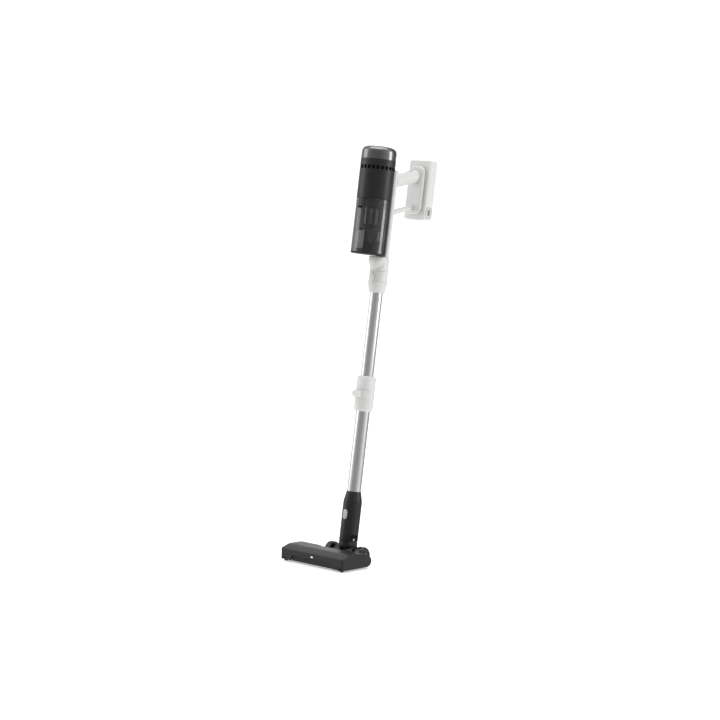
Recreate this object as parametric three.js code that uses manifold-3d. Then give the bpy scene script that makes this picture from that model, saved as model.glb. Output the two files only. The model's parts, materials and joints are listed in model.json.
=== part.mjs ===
// Cordless stick vacuum, in millimetres. +Z is up, the floor head faces -Y, X runs across the head.
// The stick is built upright round its pitch hinge and then leans back by LEAN.
import * as THREE from "three";
import { mergeVertices } from "three/addons/utils/BufferGeometryUtils.js";
import Module from "manifold-3d";

const wasm = await Module();
wasm.setup();

// ---------------------------------------------------------------- driving dimensions
const LEAN = (8 * Math.PI) / 180;
const PIVOT_Z = 21.9;

const HEAD_HALF = 113.5;
const HEAD_FRONT = -130;
const HEAD_REAR = -24;
const HEAD_TOP = 43;
const CAP_T = 4;
const MOUTH_HALF = 76;
const BRUSH = { y: -106, z: 19.2, core: 12, tip: 17.2, half: 90 };
const HEAD_MOTOR = { y: -62, z: 20, r: 13 };
const DUCT = { z: 18, r: 11.2, bore: 9.4 };
const NOTCH = [[-62, -10], [-62, -40], [-34, -66], [34, -66], [62, -40], [62, -10]];
const ARM = [33, 42.5];
const WHEEL = { from: 44.5, to: 66, r: 21.9, axle: 4 };

const NECK = { bottom: 30, shoulder: 135, top: 161, r: 24.5, topR: 18.9, button: 100 };
const LOWER_R = 18;
const UPPER_R = 16.5;
const CLAMP = { bottom: 372.5, top: 465, r: 24.5 };
const COLLAR = { bottom: 685, top: 741, r: 24, button: 721 };

const CAN = { t: -49, r: 45.8, wall: 2.2 };
const BIN = [781, 923.7];
const HOUSING = [924.2, 1027.6];
const CAP_S = [1028, 1062.2];
const SLOT_S = [1001.5, 1011];
const BIN_WINDOW = [-52, 100];

const SPINE = { front: -2.4, back: 15, half: 20, top: 1008 };
const GRIP = { r: 17, t0: 8, s0: 978.8, t1: 100, s1: 1004.6 };
const STRUT = { r: 6.75, t0: 8, s0: 894, t1: 112, s1: 926.8 };
const PAD = { half: 26.5, bottom: 905, top: 1033, front: 97.5 };
const BOX = { half: 36.3, bottom: 893, top: 1049, front: 109.6, cradle: 114, back: 139 };

// ---------------------------------------------------------------- finishes
const FINISH = {
  darkPlastic: { color: 0x3b3c3f, roughness: 0.5, metalness: 0 },
  blackPlastic: { color: 0x17181a, roughness: 0.35, metalness: 0 },
  rubber: { color: 0x202022, roughness: 0.85, metalness: 0 },
  felt: { color: 0x4a4a4d, roughness: 1, metalness: 0 },
  bristle: { color: 0x6d7278, roughness: 0.9, metalness: 0 },
  white: { color: 0xe9e8e4, roughness: 0.4, metalness: 0 },
  lightGrey: { color: 0xb9bbbd, roughness: 0.45, metalness: 0 },
  tube: { color: 0xd5d7d8, roughness: 0.3, metalness: 0.8 },
  steel: { color: 0xb4b6b8, roughness: 0.3, metalness: 1 },
  gunmetal: { color: 0x55585c, roughness: 0.3, metalness: 0.8 },
  smoky: { color: 0x26282b, roughness: 0.08, metalness: 0 },
  lens: { color: 0xf2f4f6, roughness: 0.1, metalness: 0 },
  copper: { color: 0xb87345, roughness: 0.4, metalness: 1 },
  paper: { color: 0xe6e2d6, roughness: 0.95, metalness: 0 },
  cellBlue: { color: 0x2f6f9c, roughness: 0.5, metalness: 0 },
};

// ---------------------------------------------------------------- solids
// A closed manifold from a geometry, turned the right way out, with collapsed triangles dropped.
function solid(geometry) {
  const bare = geometry.clone();
  bare.deleteAttribute("normal");
  bare.deleteAttribute("uv");
  const merged = mergeVertices(bare, 1e-4);
  const p = merged.attributes.position.array;
  const source = merged.index.array;
  const tris = [];
  let volume = 0;
  for (let i = 0; i < source.length; i += 3) {
    const [a, b, c] = [source[i], source[i + 1], source[i + 2]];
    if (a === b || b === c || a === c) continue;
    tris.push(a, b, c);
    const [u, v, w] = [a, b, c].map((k) => new THREE.Vector3(p[3 * k], p[3 * k + 1], p[3 * k + 2]));
    volume += u.dot(v.cross(w));
  }
  const triVerts = Uint32Array.from(tris);
  if (volume < 0) triVerts.reverse();
  return new wasm.Manifold(new wasm.Mesh({ numProp: 3, vertProperties: Float32Array.from(p), triVerts }));
}

const asSolid = (shape) => (shape instanceof THREE.BufferGeometry ? solid(shape) : shape);

function join(first, ...others) {
  return others.reduce((sum, shape) => sum.add(asSolid(shape)), asSolid(first));
}

function cut(first, ...others) {
  return others.reduce((rest, shape) => rest.subtract(asSolid(shape)), asSolid(first));
}

function common(first, second) {
  return asSolid(first).intersect(asSolid(second));
}

function geometryOf(shape) {
  const mesh = asSolid(shape).getMesh();
  const geometry = new THREE.BufferGeometry();
  geometry.setAttribute("position", new THREE.BufferAttribute(Float32Array.from(mesh.vertProperties), 3));
  geometry.setIndex(new THREE.BufferAttribute(Uint32Array.from(mesh.triVerts), 1));
  geometry.computeVertexNormals();
  return geometry;
}

function node(parent, name, shape, finish) {
  const mesh = new THREE.Mesh(geometryOf(shape), new THREE.MeshStandardMaterial(FINISH[finish]));
  mesh.name = name;
  parent.add(mesh);
}

// ---------------------------------------------------------------- primitives
const block = ([x0, x1], [y0, y1], [z0, z1]) =>
  new THREE.BoxGeometry(x1 - x0, y1 - y0, z1 - z0).translate((x0 + x1) / 2, (y0 + y1) / 2, (z0 + z1) / 2);

// A round bar along X, Y or Z between two stations; centre holds the other two coordinates in order.
function bar(axis, r, [from, to], centre = [0, 0], segments = 24) {
  const geometry = new THREE.CylinderGeometry(r, r, to - from, segments);
  const middle = (from + to) / 2;
  if (axis === "x") return geometry.rotateZ(Math.PI / 2).translate(middle, centre[0], centre[1]);
  if (axis === "y") return geometry.translate(centre[0], middle, centre[1]);
  return geometry.rotateX(Math.PI / 2).translate(centre[0], centre[1], middle);
}

// A profile of [radius, height] points turned about Z; it starts and ends on the axis or closes on itself.
function turned(profile, segments = 32, centreY = 0) {
  const points = profile.map(([r, z]) => new THREE.Vector2(r, z));
  return new THREE.LatheGeometry(points, segments).rotateX(Math.PI / 2).translate(0, centreY, 0);
}

// A ring profile: outer line going up, inner line coming down, closed on itself.
const ringOf = (outer, inner) => [...outer, ...[...inner].reverse(), outer[0]];

function outline(points) {
  return new THREE.Shape(points.map(([a, b]) => new THREE.Vector2(a, b)));
}

function roundedOutline(halfA, halfB, r) {
  const shape = new THREE.Shape();
  const corners = [[1, -1, -90], [1, 1, 0], [-1, 1, 90], [-1, -1, 180]];
  for (const [sa, sb, start] of corners) {
    const a0 = (start * Math.PI) / 180;
    shape.absarc(sa * (halfA - r), sb * (halfB - r), r, a0, a0 + Math.PI / 2, false);
  }
  return shape;
}

function extruded(shape, depth, bevel = 0, curveSegments = 2) {
  const options = { depth: depth - 2 * bevel, curveSegments, bevelEnabled: bevel > 0, bevelSegments: 1 };
  Object.assign(options, { bevelSize: bevel, bevelThickness: bevel, bevelOffset: -bevel });
  return new THREE.ExtrudeGeometry(shape, options).translate(0, 0, bevel);
}

const toXYZ = (x, y, z) => new THREE.Matrix4().makeBasis(x, y, z);
const [X, Y, Z] = [new THREE.Vector3(1, 0, 0), new THREE.Vector3(0, 1, 0), new THREE.Vector3(0, 0, 1)];

// An outline in (y, z) extruded along X.
const alongX = (shape, [from, to], bevel = 0) =>
  extruded(shape, to - from, bevel).applyMatrix4(toXYZ(Y, Z, X)).translate(from, 0, 0);

// An outline in (x, z) extruded along Y.
const alongY = (shape, [from, to], bevel = 0) =>
  extruded(shape, to - from, bevel).applyMatrix4(toXYZ(X, Z, Y.clone().negate())).translate(0, to, 0);

// A round bar between two points of the X = 0 plane.
function brace(r, t0, s0, t1, s1, segments = 24) {
  const length = Math.hypot(t1 - t0, s1 - s0);
  const geometry = new THREE.CylinderGeometry(r, r, length, segments);
  return geometry.rotateX(Math.atan2(s1 - s0, t1 - t0)).translate(0, (t0 + t1) / 2, (s0 + s1) / 2);
}

// A helical fin round the X axis, from radius r0 to r1.
function helicalFin({ y, z }, r0, r1, half, start, turns, thickness, steps = 26) {
  const positions = [];
  const index = [];
  for (let i = 0; i <= steps; i += 1) {
    const x = -half + (2 * half * i) / steps;
    const a = start + (turns * 2 * Math.PI * i) / steps;
    for (const [r, side] of [[r0, -1], [r1, -1], [r1, 1], [r0, 1]]) {
      const py = y + r * Math.cos(a) - side * (thickness / 2) * Math.sin(a);
      const pz = z + r * Math.sin(a) + side * (thickness / 2) * Math.cos(a);
      positions.push(x, py, pz);
    }
  }
  for (let i = 0; i < steps; i += 1) {
    for (let k = 0; k < 4; k += 1) {
      const [a, b, c, d] = [4 * i + k, 4 * i + ((k + 1) % 4), 4 * i + 4 + ((k + 1) % 4), 4 * i + 4 + k];
      index.push(a, b, c, a, c, d);
    }
  }
  const end = 4 * steps;
  index.push(0, 2, 1, 0, 3, 2, end, end + 1, end + 2, end, end + 2, end + 3);
  const geometry = new THREE.BufferGeometry();
  geometry.setAttribute("position", new THREE.Float32BufferAttribute(positions, 3));
  geometry.setIndex(index);
  return geometry;
}

// A wedge about the vertical axis through (0, centreY), from angle a0 to a1 counted from the front towards +X.
function wedge(a0, a1, reach, [z0, z1], centreY) {
  const points = [[0, centreY]];
  for (let i = 0; i <= 8; i += 1) {
    const a = ((a0 + ((a1 - a0) * i) / 8) * Math.PI) / 180;
    points.push([reach * Math.sin(a), centreY - reach * Math.cos(a)]);
  }
  return extruded(outline(points), z1 - z0).translate(0, 0, z0);
}

// ---------------------------------------------------------------- floor head
const HEAD_SIDE = [
  [HEAD_FRONT, 8], [HEAD_FRONT, 33], [-128, 35.2], [-103, HEAD_TOP], [-75, HEAD_TOP], [-56, 42.3], [-32, 34],
  [HEAD_REAR, 25], [HEAD_REAR, 15], [-29, 7.5], [-38, 4.5], [-126, 4.5],
];
const HEAD_INNER = [
  [-127, 2], [-127, 32], [-126, 33], [-102, 40.4], [-75, 40.4], [-57, 39.8], [-34, 31.8], [-27, 24.2], [-27, 16], [-31, 2],
];
const BAY_SIDE = [[-66, 36.2], [-48, 36.2], [-28, 28.2], [-28, 25.8], [-48, 33.8], [-66, 33.8]];

function headHousing() {
  const hull = alongX(outline(HEAD_SIDE), [-HEAD_HALF + CAP_T, HEAD_HALF - CAP_T]);
  const inside = alongX(outline(HEAD_INNER), [-HEAD_HALF, HEAD_HALF]);
  const mouth = block([-MOUTH_HALF, MOUTH_HALF], [-140, -120], [0, 19.5]);
  const lampHole = alongY(roundedOutline(10, 4, 3.9), [-140, -120]).translate(0, 0, 25);
  const notch = extruded(outline(NOTCH), 40).translate(0, 0, 25.4);
  const armGap = block([-ARM[1] - 0.8, ARM[1] + 0.8], [-60, -10], [0, 32]);
  const rollerGaps = [-1, 1].map((side) => block(side < 0 ? [-108, -96] : [96, 108], [-140, -117], [0, 10.4]));
  return cut(hull, inside, mouth, lampHole, notch, armGap, ...rollerGaps);
}

// The sunken deck under the notch in the hood, open round the neck.
function neckBay() {
  const plan = extruded(outline(NOTCH.map(([x, y]) => [x * 0.992, y + 0.5])), 40);
  return cut(common(alongX(outline(BAY_SIDE), [-70, 70]), plan), bar("z", 30, [0, 60], [0, 0], 32));
}

function headBase() {
  const sole = cut(
    block([-106.5, 106.5], [-126.5, -31.5], [3.6, 5.8]),
    block([-BRUSH.half - 3, BRUSH.half + 3], [-140, -87], [0, 10]),
    block([-108, -95.6], [-140, -117], [0, 10]),
    block([95.6, 108], [-140, -117], [0, 10]),
  );
  const chamberWall = cut(
    block([-BRUSH.half - 5.5, BRUSH.half + 5.5], [-87, -84.4], [3.6, 38.5]),
    bar("y", DUCT.bore + 0.2, [-95, -80], [0, DUCT.z]),
  );
  const arms = [-1, 1].map((side) => {
    const [a, b] = side < 0 ? [-ARM[1], -ARM[0]] : ARM;
    const web = join(block([a, b], [-58, 0], [3.6, 25]), bar("x", 12, [a, b], [0, PIVOT_Z], 28));
    return cut(web, bar("x", WHEEL.axle + 0.06, [a - 1, b + 1], [0, PIVOT_Z], 28));
  });
  const link = block([-40, 40], [-58, -31], [3.6, 5.8]);
  const lugs = [-1, 1].map((side) => {
    const lug = block(side < 0 ? [-98, -95.6] : [95.6, 98], [-126.5, -116], [3.6, 8.4]);
    const pin = bar("x", 1.6, side < 0 ? [-106.5, -97] : [97, 106.5], [-122.4, 5], 12);
    return join(lug, pin);
  });
  return join(sole, chamberWall, link, ...arms, ...lugs);
}

function endCap(side) {
  const [from, to] = side < 0 ? [-HEAD_HALF, -HEAD_HALF + CAP_T - 0.3] : [HEAD_HALF - CAP_T + 0.3, HEAD_HALF];
  return alongX(outline(HEAD_SIDE), [from, to], 1.4);
}

function brushParts(head) {
  const centre = [BRUSH.y, BRUSH.z];
  const core = join(
    bar("x", BRUSH.core, [-BRUSH.half, BRUSH.half], centre, 24),
    bar("x", 3, [-BRUSH.half - 14, BRUSH.half + 8], centre, 20),
  );
  node(head, "brush_core", core, "darkPlastic");
  [0, Math.PI].forEach((start, i) => {
    const fin = helicalFin(BRUSH, BRUSH.core + 0.15, BRUSH.tip, BRUSH.half - 2, start, 1.25, 2.4);
    node(head, `bristle_strip_${"ab"[i]}`, fin, "bristle");
  });
  const pulley = cut(bar("x", 9, [-104, -98.2], centre, 24), bar("x", 3.05, [-110, -90], centre, 20));
  node(head, "brush_pulley", pulley, "blackPlastic");
  const bearing = cut(bar("x", 8, [92.8, 100], centre, 24), bar("x", 3.08, [90, 102], centre, 20));
  node(head, "brush_bearing", bearing, "steel");
}

function driveParts(head) {
  const { y, z, r } = HEAD_MOTOR;
  node(head, "head_motor", cut(bar("x", r, [-90, -44.5], [y, z], 28), bar("x", 2.1, [-92, -49], [y, z], 16)), "steel");
  node(head, "motor_pulley", join(bar("x", 6, [-104, -98.2], [y, z], 20), bar("x", 2, [-99, -50], [y, z], 16)), "blackPlastic");
  const belt = (grow) => {
    const shape = new THREE.Shape();
    const lean = Math.atan2(BRUSH.z - z, BRUSH.y - y);
    const tilt = Math.acos((9 - 6) / Math.hypot(BRUSH.y - y, BRUSH.z - z));
    shape.absarc(BRUSH.y, BRUSH.z, 9.1 + grow, lean - tilt, lean + tilt, false);
    shape.absarc(y, z, 6.1 + grow, lean + tilt, lean - tilt + 2 * Math.PI, false);
    return shape;
  };
  const loop = cut(
    extruded(belt(1.4), 5, 0, 6).applyMatrix4(toXYZ(Y, Z, X)).translate(-103.6, 0, 0),
    extruded(belt(0), 9, 0, 6).applyMatrix4(toXYZ(Y, Z, X)).translate(-105.6, 0, 0),
  );
  node(head, "drive_belt", loop, "rubber");
}

function wheelParts(head) {
  for (const [side, word] of [[-1, "left"], [1, "right"]]) {
    const span = (a, b) => (side < 0 ? [-b, -a] : [a, b]);
    const axle = join(
      bar("x", WHEEL.axle, span(24, 67), [0, PIVOT_Z], 28),
      bar("x", 6.5, span(66.4, 68.4), [0, PIVOT_Z], 24),
    );
    node(head, `axle_${word}`, axle, "steel");
    const { from, to, r, axle: bore } = WHEEL;
    const tread = ringOf(
      [[r - 3, from], [r, from + 2.5], [r, to - 4], [r - 3, to]],
      [[bore + 0.06, from], [bore + 0.06, to]],
    );
    const wheel = turned(tread, 36).applyMatrix4(toXYZ(Y, Z, X)).scale(side, 1, 1).translate(0, 0, PIVOT_Z);
    node(head, `wheel_${word}`, wheel, "blackPlastic");
    const roller = cut(
      bar("x", 4.6, span(98.6, 106.2), [-122.4, 5], 20),
      bar("x", 1.72, span(90, 110), [-122.4, 5], 16),
    );
    node(head, `front_roller_${word}`, roller, "rubber");
    node(head, `glide_pad_${word}`, block(span(66, 96), [-60, -46], [0, 3.5]), "felt");
  }
}

function floorHead() {
  const head = new THREE.Group();
  node(head, "head_housing", headHousing(), "darkPlastic");
  node(head, "neck_bay", neckBay(), "blackPlastic");
  node(head, "head_base", headBase(), "darkPlastic");
  node(head, "end_cap_left", endCap(-1), "darkPlastic");
  node(head, "end_cap_right", endCap(1), "darkPlastic");
  const strip = block([-MOUTH_HALF + 1, MOUTH_HALF - 1], [-127.2, -125.6], [5.2, 19.2]);
  node(head, "front_strip", strip, "rubber");
  const lens = alongY(roundedOutline(9.6, 3.6, 3.5), [-129.6, -127.4]).translate(0, 0, 25);
  node(head, "lamp_lens", lens, "lens");
  brushParts(head);
  driveParts(head);
  const duct = cut(bar("y", DUCT.r, [-84.2, -38.5], [0, DUCT.z], 28), bar("y", DUCT.bore, [-90, -20], [0, DUCT.z], 28));
  node(head, "suction_duct", duct, "rubber");
  wheelParts(head);
  return head;
}

// ---------------------------------------------------------------- stick: neck and wand
// A round-fronted oval push button standing in a pocket in a round wall, and the pocket itself.
const ovalPrism = (halfX, halfS, r, s, span) => alongY(roundedOutline(halfX, halfS, r), span).translate(0, 0, s);

// The two flat cut-outs in the ±X sides at the foot of the neck.
const sideFlats = (span) => [[18.5, 30], [-30, -18.5]].map((x) => block(x, [-20, 20], span));

function pitchYoke(stick) {
  const barrel = bar("x", 19, [-31.6, 31.6], [0, 0], 32);
  const knuckle = turned([[0, 4], [19, 6], [NECK.r, 15], [NECK.r, 28.6], [17, 28.8], [17, 58], [0, 58]], 32);
  const bores = [bar("x", WHEEL.axle + 0.06, [-40, -23.6], [0, 0], 28), bar("x", WHEEL.axle + 0.06, [23.6, 40], [0, 0], 28)];
  const passage = [bar("y", 12, [-40, 0], [0, 0], 28), bar("z", 13.5, [-2, 70], [0, 0], 28)];
  node(stick, "pitch_yoke", cut(join(barrel, cut(knuckle, ...sideFlats([19.6, 40]))), ...bores, ...passage), "darkPlastic");
}

function neckParts(stick) {
  const { bottom, shoulder, top, r, topR, button } = NECK;
  const profile = ringOf(
    [[r - 0.8, bottom], [r, bottom + 1], [r, shoulder], [topR, top]],
    [[17.2, bottom], [17.2, 60], [15, 61], [15, 123], [LOWER_R + 0.12, 124], [LOWER_R + 0.12, top]],
  );
  const recesses = sideFlats([20, 48]);
  const pocket = ovalPrism(7.7, 13.4, 7.6, button, [-30, -18.4]);
  node(stick, "neck_shell", cut(turned(profile), pocket, ...recesses), "darkPlastic");
  const cap = common(ovalPrism(7.2, 12.9, 7.1, button, [-27, -21]), bar("z", 25.4, [80, 120], [0, 0], 48));
  node(stick, "neck_button", cap, "lightGrey");
}

function wandParts(stick) {
  const tubeOf = (r, wall, from, to) =>
    turned(ringOf([[r, from], [r, to]], [[r - wall, from], [r - wall, to]]));
  node(stick, "lower_tube", tubeOf(LOWER_R, 1.15, 124.5, 446), "tube");
  node(stick, "upper_tube", tubeOf(UPPER_R, 1.15, 330, 726.5), "tube");
  const { bottom, top, r } = CLAMP;
  const sleeve = turned(ringOf(
    [[20.5, bottom], [23.4, bottom + 2.5], [r, bottom + 7], [r, top - 7], [23.4, top - 2.5], [20.5, top]],
    [[LOWER_R + 0.1, bottom], [LOWER_R + 0.1, 446.4], [20.2, 446.6], [20.2, 461], [UPPER_R + 0.4, 461.2], [UPPER_R + 0.4, top]],
  ));
  const slot = block([-3.4, 3.4], [-30, -18.6], [406.6, 421.6]);
  node(stick, "clamp_sleeve", cut(sleeve, slot), "white");
  node(stick, "clamp_bushing", turned(ringOf([[20, 447], [20, 460.6]], [[UPPER_R + 0.1, 447], [UPPER_R + 0.1, 460.6]]), 32), "lightGrey");
  const band = common(
    turned(ringOf([[26.2, 407], [27.2, 409], [27.2, 426], [26.2, 428]], [[r + 0.3, 407], [r + 0.3, 428]]), 40),
    wedge(-70, 70, 60, [400, 440], 0),
  );
  const thumb = alongX(outline([[-25.5, 408], [-36.4, 410.5], [-38, 412.5], [-38, 422], [-36.4, 424], [-25.5, 427]]), [-11, 11], 1.2);
  const key = block([-2.9, 2.9], [-27, -18.9], [413, 421]);
  node(stick, "clamp_slider", join(band, thumb, key), "white");
}

// ---------------------------------------------------------------- stick: white main body
const collarOuter = [[20.5, 685], [COLLAR.r, 703], [COLLAR.r, 706], [25.3, 708], [25.3, 714], [COLLAR.r, 716], [COLLAR.r, COLLAR.top]];

function bodyParts(stick) {
  const bore = [[16.7, 685], [16.7, 727], [14.5, 728], [14.5, COLLAR.top]];
  const pocket = ovalPrism(8.1, 16.1, 8, COLLAR.button, [-30, -18.3]);
  node(stick, "collar", cut(turned(ringOf(collarOuter, bore)), pocket), "white");
  const face = common(ovalPrism(7.6, 15.6, 7.5, COLLAR.button, [-28, -20.6]), bar("z", 26.2, [690, 750], [0, 0], 48));
  node(stick, "wand_button", face, "white");

  const back = extruded(roundedOutline(SPINE.half, (SPINE.back - SPINE.front) / 2, 8), SPINE.top - 765, 2)
    .translate(0, (SPINE.back + SPINE.front) / 2, 765);
  const root = turned([[0, 741.4], [24, 741.4], [24, 774], [22.5, 778.6], [0, 780.4]], 32, -1);
  const bulge = turned([[0, 741.4], [14, 741.4], [23.5, 766], [23.5, 775], [22, 779], [0, 780.4]], 32, -10);
  const airway = [
    bar("z", 14.5, [735, 766], [0, 0], 28),
    block([-13, 13], [2, 11], [760, 860]),
    block([-13, 13], [-8, 6], [822, 850]),
  ];
  node(stick, "spine_duct", cut(join(back, root, bulge), ...airway), "white");

  const spineFace = block([-40, 40], [-30, SPINE.back + 0.05], [800, 1100]);
  const padFace = block([-60, 60], [PAD.front - 0.05, 200], [800, 1100]);
  const grip = brace(GRIP.r, GRIP.t0, GRIP.s0, GRIP.t1, GRIP.s1, 32);
  const lift = (t) => GRIP.s0 + ((t - GRIP.t0) * (GRIP.s1 - GRIP.s0)) / (GRIP.t1 - GRIP.t0);
  const rise = Math.atan2(GRIP.s1 - GRIP.s0, GRIP.t1 - GRIP.t0);
  const onGrip = (shape) => shape.rotateX(rise).translate(0, 76, lift(76));
  const buttonHole = onGrip(extruded(roundedOutline(5.9, 9.9, 5.8), 12).translate(0, 0, 11.5));
  node(stick, "grip_tube", cut(grip, spineFace, padFace, buttonHole), "white");
  node(stick, "power_button", onGrip(extruded(roundedOutline(5.5, 9.5, 5.4), 4.6, 0.8).translate(0, 0, 12.9)), "lightGrey");
  const boxFace = block([-60, 60], [BOX.front - 0.05, 200], [800, 1100]);
  const padBlock = padSolid(0.05);
  node(stick, "strut", cut(brace(STRUT.r, STRUT.t0, STRUT.s0, STRUT.t1, STRUT.s1), spineFace, boxFace, padBlock), "white");
}

const boxOutline = (inset, r) => roundedOutline(BOX.half - inset, (BOX.top - BOX.bottom) / 2 - inset, r);
const BOX_S = (BOX.top + BOX.bottom) / 2;

function padSolid(grow) {
  const shape = roundedOutline(PAD.half + grow, (PAD.top - PAD.bottom) / 2 + grow, 16);
  return alongY(shape, [PAD.front - grow, BOX.front + 3], 2.5).translate(0, 0, (PAD.top + PAD.bottom) / 2);
}

function batteryParts(stick) {
  const plate = alongY(boxOutline(0, 7), [BOX.front, BOX.cradle], 1.2).translate(0, 0, BOX_S);
  node(stick, "cradle", join(plate, padSolid(0)), "white");
  const shell = alongY(boxOutline(0, 7), [BOX.cradle + 0.4, BOX.back], 1.6).translate(0, 0, BOX_S);
  const cavity = alongY(boxOutline(2, 5), [BOX.cradle - 2, BOX.back - 2]).translate(0, 0, BOX_S);
  const windows = alongX(roundedOutline(9.9, 13.3, 9.3), [-50, 50]).translate(0, 125.4, 912);
  const socket = block([-8.3, 8.3], [121, 131], [885, 900]);
  node(stick, "battery_shell", cut(shell, cavity, windows, socket), "white");
  const lid = alongY(boxOutline(2.3, 4.8), [BOX.cradle + 0.5, BOX.cradle + 2.3]).translate(0, 0, BOX_S);
  const lidNotches = [block([-50, -32.8], [110, 118], [897, 927]), block([32.8, 50], [110, 118], [897, 927])];
  node(stick, "battery_lid", cut(lid, ...lidNotches), "white");
  const cells = [];
  for (let i = 0; i < 7; i += 1) cells.push(bar("x", 9.1, [-30, 30], [126.9, 909.4 + 18.1 * i], 16));
  const tray = block([-30, 30], [125.6, 128.2], [902, 1026]);
  node(stick, "cell_pack", join(tray, ...cells), "cellBlue");
  for (const [side, word] of [[-1, "left"], [1, "right"]]) {
    const span = side < 0 ? [-37.3, -34.6] : [34.6, 37.3];
    const button = alongX(roundedOutline(9.6, 13, 9), span, 0.8).translate(0, 125.4, 912);
    node(stick, `battery_release_${word}`, button, "white");
  }
  const jack = cut(block([-8, 8], [121.3, 130.7], [893.4, 899.6]), bar("z", 2.6, [885, 897], [0, 126], 16));
  node(stick, "charge_socket", jack, "blackPlastic");
}

// ---------------------------------------------------------------- stick: cylinder
const canRing = (outer, inner, [from, to]) =>
  turned(ringOf([[outer, from], [outer, to]], [[inner, from], [inner, to]]), 40, CAN.t);

function motorParts(stick) {
  const { r, t, wall } = CAN;
  const [low, high] = CAP_S;
  const crown = ringOf(
    [[r, low], [r, low + 20], [r - 1.2, low + 26], [r - 4.6, low + 31.4], [r - 9.5, high - 2], [r - 15, high - 0.3], [0, high]],
    [[r - wall, low], [r - wall, low + 20], [r - 7, low + 29], [r - 15, high - 3], [0, high - 3]],
  );
  node(stick, "cap", turned(crown, 40, t), "gunmetal");

  const pleats = [];
  for (let i = 0; i < 48; i += 1) {
    const a = (i * Math.PI) / 24;
    const radius = i % 2 ? 36 : 40;
    pleats.push([radius * Math.cos(a), radius * Math.sin(a)]);
  }
  const filter = cut(extruded(outline(pleats), 20).translate(0, t, 1030), bar("z", 24, [1020, 1056], [0, t], 32));
  node(stick, "pre_filter", filter, "paper");

  const wallRing = canRing(r, r - wall, HOUSING);
  const floor = canRing(r - 1, 20, [HOUSING[0], HOUSING[0] + 3]);
  const deck = canRing(r - 1, 26, [HOUSING[1] - 3, HOUSING[1]]);
  const slots = [];
  for (let i = -8; i <= 8; i += 1) {
    const slot = block([-4.2, 4.2], [-r - 5, -r + 6], SLOT_S).rotateZ((i * 15 * Math.PI) / 180);
    slots.push(slot.translate(0, t, 0));
  }
  node(stick, "motor_housing", cut(join(wallRing, floor, deck), ...slots), "darkPlastic");

  const motor = turned(ringOf(
    [[18, 940], [22, 943], [22, 978], [18, 981]],
    [[2.6, 940], [2.6, 981]],
  ), 32, t);
  node(stick, "fan_motor", motor, "steel");
  node(stick, "exhaust_foam", canRing(r - 3.7, r - 6.7, [995, HOUSING[1] - 3.03]), "felt");
  const bracket = cut(canRing(r - wall - 0.3, 22.2, [958, 962]), ...[0, 1, 2].map((i) => {
    const hole = bar("z", 7, [950, 970], [0, -33], 16).rotateZ((i * 2 * Math.PI) / 3);
    return hole.translate(0, t, 0);
  }));
  node(stick, "fan_bracket", bracket, "rubber");
  const hub = turned([[0, 936], [2.5, 936], [2.5, 984], [7, 984.5], [30, 985.5], [30, 987], [8, 990], [6, 998], [0, 999]], 32, t);
  const blades = [];
  for (let i = 0; i < 7; i += 1) {
    const blade = block([-0.8, 0.8], [-28, -5], [-5, 5]).rotateY(0.2).rotateZ((i * 2 * Math.PI) / 7);
    blades.push(blade.translate(0, t, 990.5));
  }
  node(stick, "impeller", join(hub, ...blades), "gunmetal");
}

function binParts(stick) {
  const { r, t, wall } = CAN;
  const [low, high] = BIN;
  const wallRing = canRing(r, r - wall, [low + 3.4, high]);
  const front = wedge(BIN_WINDOW[0], BIN_WINDOW[1], 80, [low, high + 1], t);
  const rear = wedge(BIN_WINDOW[1] + 0.5, BIN_WINDOW[0] + 359.5, 80, [low, high + 1], t);
  const inlet = block([-12.6, 12.6], [-20, 10], [823, 849]);
  const tabGap = block([-11.4, 11.4], [-110, t - 30], [897.5, high + 2]);
  node(stick, "bin_shell", cut(common(wallRing, front), tabGap), "smoky");
  node(stick, "bin_back", cut(common(wallRing, rear), inlet), "darkPlastic");
  const base = turned([[0, low], [r - 1, low], [r, low + 1], [r, low + 3], [r - wall - 0.4, low + 3], [r - wall - 0.4, low + 9],
    [r - wall - 2.4, low + 9], [r - wall - 2.4, low + 3], [0, low + 3]], 40, t);
  node(stick, "bin_base", base, "darkPlastic");
  node(stick, "bin_seal", canRing(r - wall - 0.3, r - wall - 3.4, [high - 4, high - 0.2]), "rubber");
  const tabRing = canRing(r + 1, r - wall, [902, high]);
  node(stick, "bin_tab", common(tabRing, block([-11, 11], [-110, t - 30], [900, 930])), "darkPlastic");

  const shroud = turned(ringOf([[26, 850], [28, 853], [28, 905], [33, 912], [33, 918]], [[24, 850], [24, 905], [29, 912], [29, 918]]), 32, t);
  const vents = [];
  for (let i = 0; i < 10; i += 1) {
    const vent = block([-5.4, 5.4], [-40, -20], [858, 898]).rotateZ((i * Math.PI) / 5);
    vents.push(vent.translate(0, t, 0));
  }
  node(stick, "shroud_mesh", cut(shroud, ...vents), "gunmetal");
  const cone = turned(ringOf([[12, 812], [23, 846], [23.6, 916]], [[10, 812], [21, 847], [21.6, 916]]), 28, t);
  node(stick, "cyclone_cone", cone, "blackPlastic");
  node(stick, "inlet_flap", block([-25, 3], [t - 25.4, t - 23.8], [796, 842]), "lightGrey");
}

// ---------------------------------------------------------------- assembly
function stickGroup() {
  const stick = new THREE.Group();
  pitchYoke(stick);
  neckParts(stick);
  wandParts(stick);
  bodyParts(stick);
  batteryParts(stick);
  motorParts(stick);
  binParts(stick);
  stick.position.set(0, 0, PIVOT_Z);
  stick.rotation.x = -LEAN;
  return stick;
}

const vacuum = new THREE.Group();
vacuum.add(floorHead(), stickGroup());
const extent = new THREE.Box3().setFromObject(vacuum, true);
const middle = extent.getCenter(new THREE.Vector3());
vacuum.position.set(-middle.x, -middle.y, -extent.min.z);

export default vacuum;
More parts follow.
